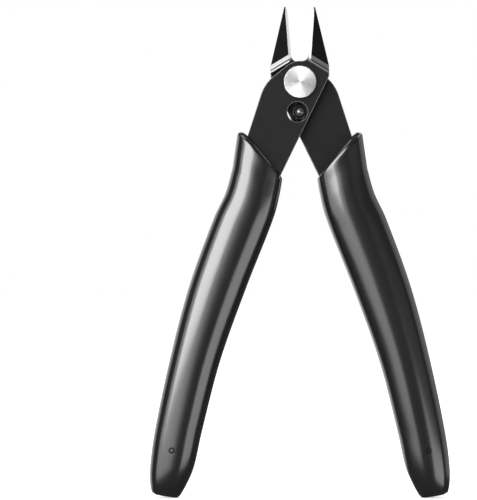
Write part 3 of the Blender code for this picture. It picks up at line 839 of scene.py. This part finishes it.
spun_steel = finish("spun_steel", (0.58, 0.58, 0.585), (0.66, 0.66, 0.665), 1.0, (0.40, 0.48),
                    5000, 0.000001, Anisotropic=0.85)
ring_way = spun_steel.node_tree.nodes.new("ShaderNodeTangent")
ring_way.direction_type = "RADIAL"
ring_way.axis = "Y"
spun_steel.node_tree.links.new(ring_way.outputs["Tangent"],
                               spun_steel.node_tree.nodes["Principled BSDF"].inputs["Tangent"])
staked_steel = finish("staked_steel", (0.42, 0.42, 0.43), (0.58, 0.58, 0.59), 1.0, (0.28, 0.42),
                      4000, 0.000004)

head_back = -OUTSIDE - RESTING_GAP
head_face = head_back - HEAD_THICKNESS
head_side = head_face + HEAD_CHAMFER + HEAD_CROWN
flat_radius = HEAD_RADIUS - HEAD_CHAMFER
head_profile = []
ring_samples = round(flat_radius / RING_PITCH * 6)
for k in range(ring_samples + 1):
    radius = flat_radius * k / ring_samples
    crown = HEAD_CROWN * (radius / flat_radius) ** 2
    beat = 1 + 0.5 * sin(2.3 * radius / RING_PITCH)
    ripple = RING_DEPTH * beat * (1 - cos(2 * pi * radius / RING_PITCH))
    head_profile.append((radius, head_face + crown + ripple))
head_profile += quarter((flat_radius, head_face + HEAD_CROWN), (HEAD_RADIUS, head_side), 6)
tail_start = OUTSIDE + RESTING_GAP / 2
tail_end = OUTSIDE + RESTING_GAP + COLLAR_THICKNESS
tail_tip = TAIL_RADIUS - TAIL_CORNER
head_profile += [
    (HEAD_RADIUS, head_side), (HEAD_RADIUS, head_back - HEAD_UNDER_EDGE),
    (HEAD_RADIUS - HEAD_UNDER_EDGE, head_back), (SHANK_RADIUS, head_back),
    (SHANK_RADIUS, tail_start), (TAIL_RADIUS, tail_start), (TAIL_RADIUS, tail_end - TAIL_EDGE),
]
head_profile += quarter((TAIL_RADIUS, tail_end - TAIL_EDGE), (tail_tip, tail_end), 3, bulge=-1)
head_profile += [
    (tail_tip, tail_end), (STAKE_RADIUS, tail_end),
    (STAKE_RADIUS * 0.8, tail_end - STAKE_DEPTH * 0.35), (STAKE_RADIUS * 0.4, tail_end - STAKE_DEPTH * 0.8),
    (0, tail_end - STAKE_DEPTH),
]
rivet = skin("turned_rivet", turned_rings(head_profile), 128, spun_steel)
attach(rivet, "front_body")
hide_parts("pivot_rivet")

low = OUTSIDE + RESTING_GAP
high = low + COLLAR_THICKNESS
bore = TAIL_RADIUS + RUNNING_CLEARANCE
front_flat = (COLLAR_RADIUS - COLLAR_FRONT_ROUND, low)
front_side = (COLLAR_RADIUS, low + COLLAR_FRONT_ROUND)
back_side = (COLLAR_RADIUS, high - COLLAR_BACK_ROUND)
back_flat = (COLLAR_RADIUS - COLLAR_BACK_ROUND, high)
collar_profile = [(bore, low), front_flat]
collar_profile += quarter(front_flat, front_side, 3)
collar_profile += [front_side, back_side]
collar_profile += quarter(back_side, back_flat, 4, bulge=-1)
for k in range(COLLAR_GROOVES * 4 + 1):
    share = k / (COLLAR_GROOVES * 4)
    radius = back_flat[0] + (bore + BORE_CHAMFER - COLLAR_RADIUS + COLLAR_BACK_ROUND) * share
    collar_profile.append((radius, high - RING_DEPTH * (1 - cos(2 * pi * COLLAR_GROOVES * share))))
collar_profile += [(bore, high - BORE_CHAMFER), (bore, low)]
collar = skin("staked_collar", turned_rings(collar_profile), 96, staked_steel)
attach(collar, "front_body")
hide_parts("pivot_collar")


# ---------------------------------------------------------------------------------------------
# A domed steel pin stands in the two pockets and keeps the spring's coil upright. Its head is
# polished and sits a little below the front plate's face.

PIN_HEAD_RADIUS = 0.0012
PIN_RADIUS = 0.0009
PIN_RECESS = 0.0002
PIN_FLOOR_GAP = 0.0003
PIN_FOOT_EDGE = 0.0001
DOME_STEPS = 18

polished_pin = finish("polished_pin", (0.16, 0.16, 0.165), (0.24, 0.24, 0.245), 0.9, (0.26, 0.34),
                      6000, 0.000001)
pin_top = -OUTSIDE + PIN_RECESS
pin_foot = PLATE_GAP / 2 + POCKET_DEPTH - PIN_FLOOR_GAP
pin_profile = []
for k in range(DOME_STEPS + 1):
    angle = pi / 2 * k / DOME_STEPS
    pin_profile.append((PIN_HEAD_RADIUS * sin(angle), pin_top + PIN_HEAD_RADIUS * (1 - cos(angle))))
under = pin_top + PIN_HEAD_RADIUS + 0.00008
pin_profile += [
    (PIN_HEAD_RADIUS, under), (PIN_RADIUS + 0.00008, under + 0.0002), (PIN_RADIUS, under + 0.0003),
    (PIN_RADIUS, pin_foot - PIN_FOOT_EDGE), (PIN_RADIUS - PIN_FOOT_EDGE, pin_foot), (0, pin_foot),
]
pin = skin("domed_pin", turned_rings(pin_profile, z=-SPRING_DROP), 64, polished_pin)
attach(pin, "spring_body")
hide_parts("spring_pin")


# ---------------------------------------------------------------------------------------------
# The return spring is round steel wire wound in a close coil round the pin. Its two straight legs
# lie in grooves between the plates and push the handles apart.

COIL_TURNS = 3
wire_steel = finish("spring_wire", (0.035, 0.035, 0.036), (0.06, 0.06, 0.062), 0.8, (0.34, 0.44),
                    6000, 0.000001)


def wound_wire_tree():
    """Round wire wound on an axis along Y."""
    tree, nodes, links, given = tree_with("wound_wire", (
        ("Turns", "Float"), ("Coil radius", "Float"), ("Wire radius", "Float"), ("Length", "Float"),
        ("Start angle", "Float"), ("Place", "Vector"), ("Finish", "Material")))
    spiral = nodes.new("GeometryNodeCurveSpiral")
    spiral.inputs["Resolution"].default_value = 48
    links.new(given["Turns"], spiral.inputs["Rotations"])
    links.new(given["Coil radius"], spiral.inputs["Start Radius"])
    links.new(given["Coil radius"], spiral.inputs["End Radius"])
    links.new(given["Length"], spiral.inputs["Height"])
    turn = nodes.new("ShaderNodeVectorRotate")
    turn.rotation_type = "Z_AXIS"
    links.new(nodes.new("GeometryNodeInputPosition").outputs["Position"], turn.inputs["Vector"])
    links.new(given["Start angle"], turn.inputs["Angle"])
    parts = nodes.new("ShaderNodeSeparateXYZ")
    links.new(turn.outputs["Vector"], parts.inputs["Vector"])
    upright = nodes.new("ShaderNodeCombineXYZ")
    links.new(parts.outputs["X"], upright.inputs["X"])
    links.new(parts.outputs["Z"], upright.inputs["Y"])
    links.new(parts.outputs["Y"], upright.inputs["Z"])
    shift = nodes.new("ShaderNodeVectorMath")
    links.new(upright.outputs["Vector"], shift.inputs[0])
    links.new(given["Place"], shift.inputs[1])
    moved = nodes.new("GeometryNodeSetPosition")
    links.new(spiral.outputs["Curve"], moved.inputs["Geometry"])
    links.new(shift.outputs["Vector"], moved.inputs["Position"])
    section = nodes.new("GeometryNodeCurvePrimitiveCircle")
    section.inputs["Resolution"].default_value = 20
    links.new(given["Wire radius"], section.inputs["Radius"])
    wire = nodes.new("GeometryNodeCurveToMesh")
    wire.inputs["Fill Caps"].default_value = True
    links.new(moved.outputs["Geometry"], wire.inputs["Curve"])
    links.new(section.outputs["Curve"], wire.inputs["Profile Curve"])
    return ended(tree, wire.outputs["Mesh"], given)


def leg_start(layer):
    """Where the coil runs out into a leg: the leg leaves the coil along its tangent."""
    return Vector((-layer * COIL_RADIUS * cos(LEG_ANGLE), layer * (PLATE_GAP / 2 + LEG_DEPTH),
                   -COIL_RADIUS * sin(LEG_ANGLE) - SPRING_DROP))


coil_tree = wound_wire_tree()
coil = bpy.data.objects.new("spring_coil", bpy.data.meshes.new("spring_coil"))
bpy.context.scene.collection.objects.link(coil)
winding = coil.modifiers.new("winding", "NODES")
winding.node_group = coil_tree
coil_start = leg_start(FRONT).y
coil_sizes = {
    "Turns": COIL_TURNS + (pi + 2 * LEG_ANGLE) / (2 * pi),
    "Coil radius": COIL_RADIUS,
    "Wire radius": WIRE_RADIUS,
    "Length": -2 * coil_start,
    "Start angle": -LEG_ANGLE,
    "Place": tuple(PIVOT + Vector((0, coil_start, -SPRING_DROP))),
    "Finish": wire_steel,
}
for name, value in coil_sizes.items():
    winding[socket_of(coil_tree, name)] = value
painted(settled(coil), wire_steel)
work = bmesh.new()
work.from_mesh(coil.data)
bmesh.ops.remove_doubles(work, verts=work.verts, dist=1e-7)
bmesh.ops.recalc_face_normals(work, faces=work.faces)
work.to_mesh(coil.data)
work.free()
coil.data.shade_smooth()
coil.data.set_sharp_from_angle(angle=radians(50))
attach(coil, "spring_body")
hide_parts("return_spring")

for layer, side_name, body in ((FRONT, "front", "front_body"), (REAR, "rear", "rear_body")):
    way = Vector((layer * sin(LEG_ANGLE), 0, -cos(LEG_ANGLE)))
    across = Vector((cos(LEG_ANGLE) * layer, 0, sin(LEG_ANGLE)))
    start = leg_start(layer)
    rings = []
    end_steps = 4
    for k in range(end_steps + 1):
        swell = sin(pi / 2 * k / end_steps)
        rings.append((start - way * WIRE_RADIUS * (1 - k / end_steps), across * WIRE_RADIUS * swell,
                      (0, WIRE_RADIUS * swell, 0), 2))
    for k in range(end_steps + 1):
        swell = cos(pi / 2 * k / end_steps)
        rings.append((start + way * (LEG_LENGTH - WIRE_RADIUS + WIRE_RADIUS * k / end_steps),
                      across * WIRE_RADIUS * swell, (0, WIRE_RADIUS * swell, 0), 2))
    leg = skin("spring_leg_" + side_name, rings, 20, wire_steel, sharp=50)
    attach(leg, body)


# ---------------------------------------------------------------------------------------------
# The grips are thick black vinyl sleeves, moulded glossy and pushed over the tangs. The mouth is
# cut on a slant with a rounded rim, the foot is blunt, and a small mould mark sits near the foot.

MOUTH_SLOPE = radians(50.4)
LIP_RADIUS = 0.0011
LIP_LEAN = 0.0015 / 0.0105  # out per height
INNER_LIP_RADIUS = 0.0007
RIM_RADIUS = 0.00055
TANG_CLEARANCE = 0.0003
SECTION_POWER = 2.5
CAVITY_POWER = 9
FOOT_TILT = 0.00045
FOOT_ROUND = 0.0005
FOOT_TILT_HEIGHT = 0.014
MOUTH_TILT_FROM = -0.046
CAVITY_START = 0.0004
CAVITY_END = ((0.0008, 0.9), (0.0016, 0.5), (0.0017, 0.0))
BODY_RINGS = 130
GRIP_POINTS = 96
MARK_PLACE = (0.0321, 0.0121)
MARK_RADIUS = 0.00058
MARK_GROOVE = 0.00018
MARK_DEPTH = 0.00034

glossy_vinyl = finish("glossy_vinyl", (0.0038, 0.0038, 0.0039), (0.0050, 0.0050, 0.0052), 0.0,
                      (0.18, 0.21), 2600, 0.0000004, patch=60, Specular_IOR_Level=0.95,
                      Coat_Weight=0.5, Coat_Roughness=0.13)


def grip_side(sign, height):
    """How far out the grip's outer (+1) or inner (-1) side is, at a height over the rivet axis."""
    neck = -NECK_DROP
    if height > neck:
        x, _, width, _ = handle_at(0)
        x -= (height - neck) * LIP_LEAN
    else:
        share = (neck - height) / (PIVOT.z - NECK_DROP)
        x, _, width, _ = handle_at(share)
    return x + sign * width / 2


def ring_between(outer, inner, y, depth, power):
    """A ring whose ends are two points in the XZ plane."""
    (ax, az), (bx, bz) = outer, inner
    return (((ax + bx) / 2, y, (az + bz) / 2), ((ax - bx) / 2, 0, (az - bz) / 2), (0, depth, 0), power)


def grip_rings(layer):
    """Rings from the foot up to the mouth, over its rim, and down inside round the tang."""
    mouth_way = (cos(MOUTH_SLOPE), sin(MOUTH_SLOPE))
    outer_up = Vector((-LIP_LEAN, 1)).normalized()
    apex = crossing((grip_side(1, 0), 0), outer_up, MOUTH_INNER, mouth_way)
    lip = rounded(apex, tuple(outer_up), (-mouth_way[0], -mouth_way[1]), LIP_RADIUS, 8)
    low = MOUTH_INNER[1]
    inner_up = Vector((grip_side(-1, low) - grip_side(-1, low - 0.001), 0.001)).normalized()
    corner = crossing((grip_side(-1, low), low), inner_up, MOUTH_INNER, mouth_way)
    inner_lip = rounded(corner, tuple(inner_up), mouth_way, INNER_LIP_RADIUS, 8)
    top = (lip[0][1] + inner_lip[0][1]) / 2
    spread = (lip[0][1] - inner_lip[0][1]) / 2
    foot = -PIVOT.z
    rings = []
    foot_x = (grip_side(1, foot) + grip_side(-1, foot)) / 2
    _, _, _, foot_depth = handle_at(1)
    foot_half = (grip_side(1, foot) - grip_side(-1, foot)) / 2
    start = foot + FOOT_TILT
    for k in range(4):
        size = 1 - FOOT_ROUND / foot_half
        part = size * k / 3
        outer = (foot_x + foot_half * part, start + FOOT_TILT * part)
        inner = (foot_x - foot_half * part, start - FOOT_TILT * part)
        rings.append(ring_between(outer, inner, 0, (foot_depth - FOOT_ROUND) * part, SECTION_POWER))
    for k in range(1, 6):
        angle = pi / 2 * k / 6
        shrink = FOOT_ROUND * (1 - sin(angle))
        rise = FOOT_ROUND * (1 - cos(angle))
        half = foot_half - shrink
        outer = (foot_x + half, start + FOOT_TILT + rise)
        inner = (foot_x - half, start - FOOT_TILT + rise)
        rings.append(ring_between(outer, inner, 0, foot_depth - shrink, SECTION_POWER))
    first = foot + FOOT_TILT + FOOT_ROUND
    for k in range(BODY_RINGS + 1):
        height = first + (top - first) * k / BODY_RINGS
        above = (height - first) / FOOT_TILT_HEIGHT
        low_tilt = FOOT_TILT * max(0, 1 - above) ** 2
        part = max(0, (height - MOUTH_TILT_FROM) / (top - MOUTH_TILT_FROM))
        high_tilt = spread * part * part * (3 - 2 * part)
        outer_height = height + low_tilt + high_tilt
        inner_height = height - low_tilt - high_tilt
        share = max(0, (-NECK_DROP - height) / (PIVOT.z - NECK_DROP))
        _, _, _, depth = handle_at(min(share, 1))
        outer = (grip_side(1, outer_height), outer_height)
        inner = (grip_side(-1, inner_height), inner_height)
        rings.append(ring_between(outer, inner, 0, depth, SECTION_POWER))
    for k in range(1, 9):
        shrink = RIM_RADIUS * (1 - cos(pi / 2 * k / 8))
        rings.append(ring_between(lip[k], inner_lip[k], 0, depth - shrink, SECTION_POWER))
    depth -= RIM_RADIUS
    wide = OUTER_EDGE_OFFSET + TANG_CLEARANCE
    near = INNER_EDGE_OFFSET + TANG_CLEARANCE
    plate_out = crossing((plate_edge(wide, OUTER_EDGE_ANGLE, 0), 0),
                         (-sin(OUTER_EDGE_ANGLE), cos(OUTER_EDGE_ANGLE)), MOUTH_INNER, mouth_way)
    plate_in = crossing((-plate_edge(near, -INNER_EDGE_ANGLE, 0), 0),
                        (-sin(INNER_EDGE_ANGLE), cos(INNER_EDGE_ANGLE)), MOUTH_INNER, mouth_way)
    slot_y = layer * (OUTSIDE + PLATE_GAP / 2) / 2
    slot_depth = (OUTSIDE - PLATE_GAP / 2) / 2 + TANG_CLEARANCE
    for part in (0.03, 0.5, 0.96, 1.0):
        outer = tuple(Vector(lip[-1]).lerp(Vector(plate_out), part))
        inner = tuple(Vector(inner_lip[-1]).lerp(Vector(plate_in), part))
        power = SECTION_POWER + (CAVITY_POWER - SECTION_POWER) * part
        rings.append(ring_between(outer, inner, slot_y * part, depth + (slot_depth - depth) * part, power))
    sides, _, inner_sides = tang_sides(TANG_CLEARANCE)
    inner_sides = inner_sides[::-1]
    straight = (plate_edge(wide, OUTER_EDGE_ANGLE, -EDGE_DROP), -EDGE_DROP)
    cavity_top = low - CAVITY_START
    turn_in = (-plate_edge(near, -INNER_EDGE_ANGLE, cavity_top), cavity_top)
    inside = [(straight, turn_in)]
    for k in range(2):
        inside.append((sides[k], tuple(Vector(turn_in).lerp(Vector(inner_sides[0]), (k + 1) / 3))))
    inside += list(zip(sides[2:], inner_sides))
    for outer, inner in inside:
        rings.append(ring_between(outer, inner, slot_y, slot_depth, CAVITY_POWER))
    (ax, az), (bx, bz) = inside[-1]
    for drop, part in CAVITY_END:
        middle = (ax + bx) / 2
        half = (ax - bx) / 2 * part
        rings.append(ring_between((middle + half, az - drop), (middle - half, bz - drop), slot_y,
                                  slot_depth * part, CAVITY_POWER))
    return rings


def mark_cutter(name, side):
    """A small ring groove, which leaves a raised dot in its middle."""
    x, height = MARK_PLACE
    z = height - PIVOT.z
    share = (-NECK_DROP - z) / (PIVOT.z - NECK_DROP)
    centre, _, width, depth = handle_at(share)
    surface = -depth * (1 - (abs(x - centre) / (width / 2)) ** SECTION_POWER) ** (1 / SECTION_POWER)
    profile = []
    steps = 12
    for k in range(steps + 1):
        angle = 2 * pi * k / steps
        profile.append((MARK_RADIUS + MARK_GROOVE * cos(angle), surface + MARK_DEPTH * sin(angle)))
    return skin(name, turned_rings(profile, x=side * x, z=z), 32, glossy_vinyl)


for name, side, layer, body in (("left_grip", -1, FRONT, "front_body"),
                                ("right_grip", 1, REAR, "rear_body")):
    rings = []
    for centre, wide, deep, power in grip_rings(layer):
        rings.append(((centre[0] * side, centre[1], centre[2]), (wide[0] * side, 0, wide[2]), deep, power))
    grip = skin(name + "_sleeve", rings, GRIP_POINTS, glossy_vinyl, sharp=50)
    joined_or_cut(grip, mark_cutter(name + "_mark", side), "DIFFERENCE")
    grip.data.set_sharp_from_angle(angle=radians(50))
    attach(grip, body)
    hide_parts(name)
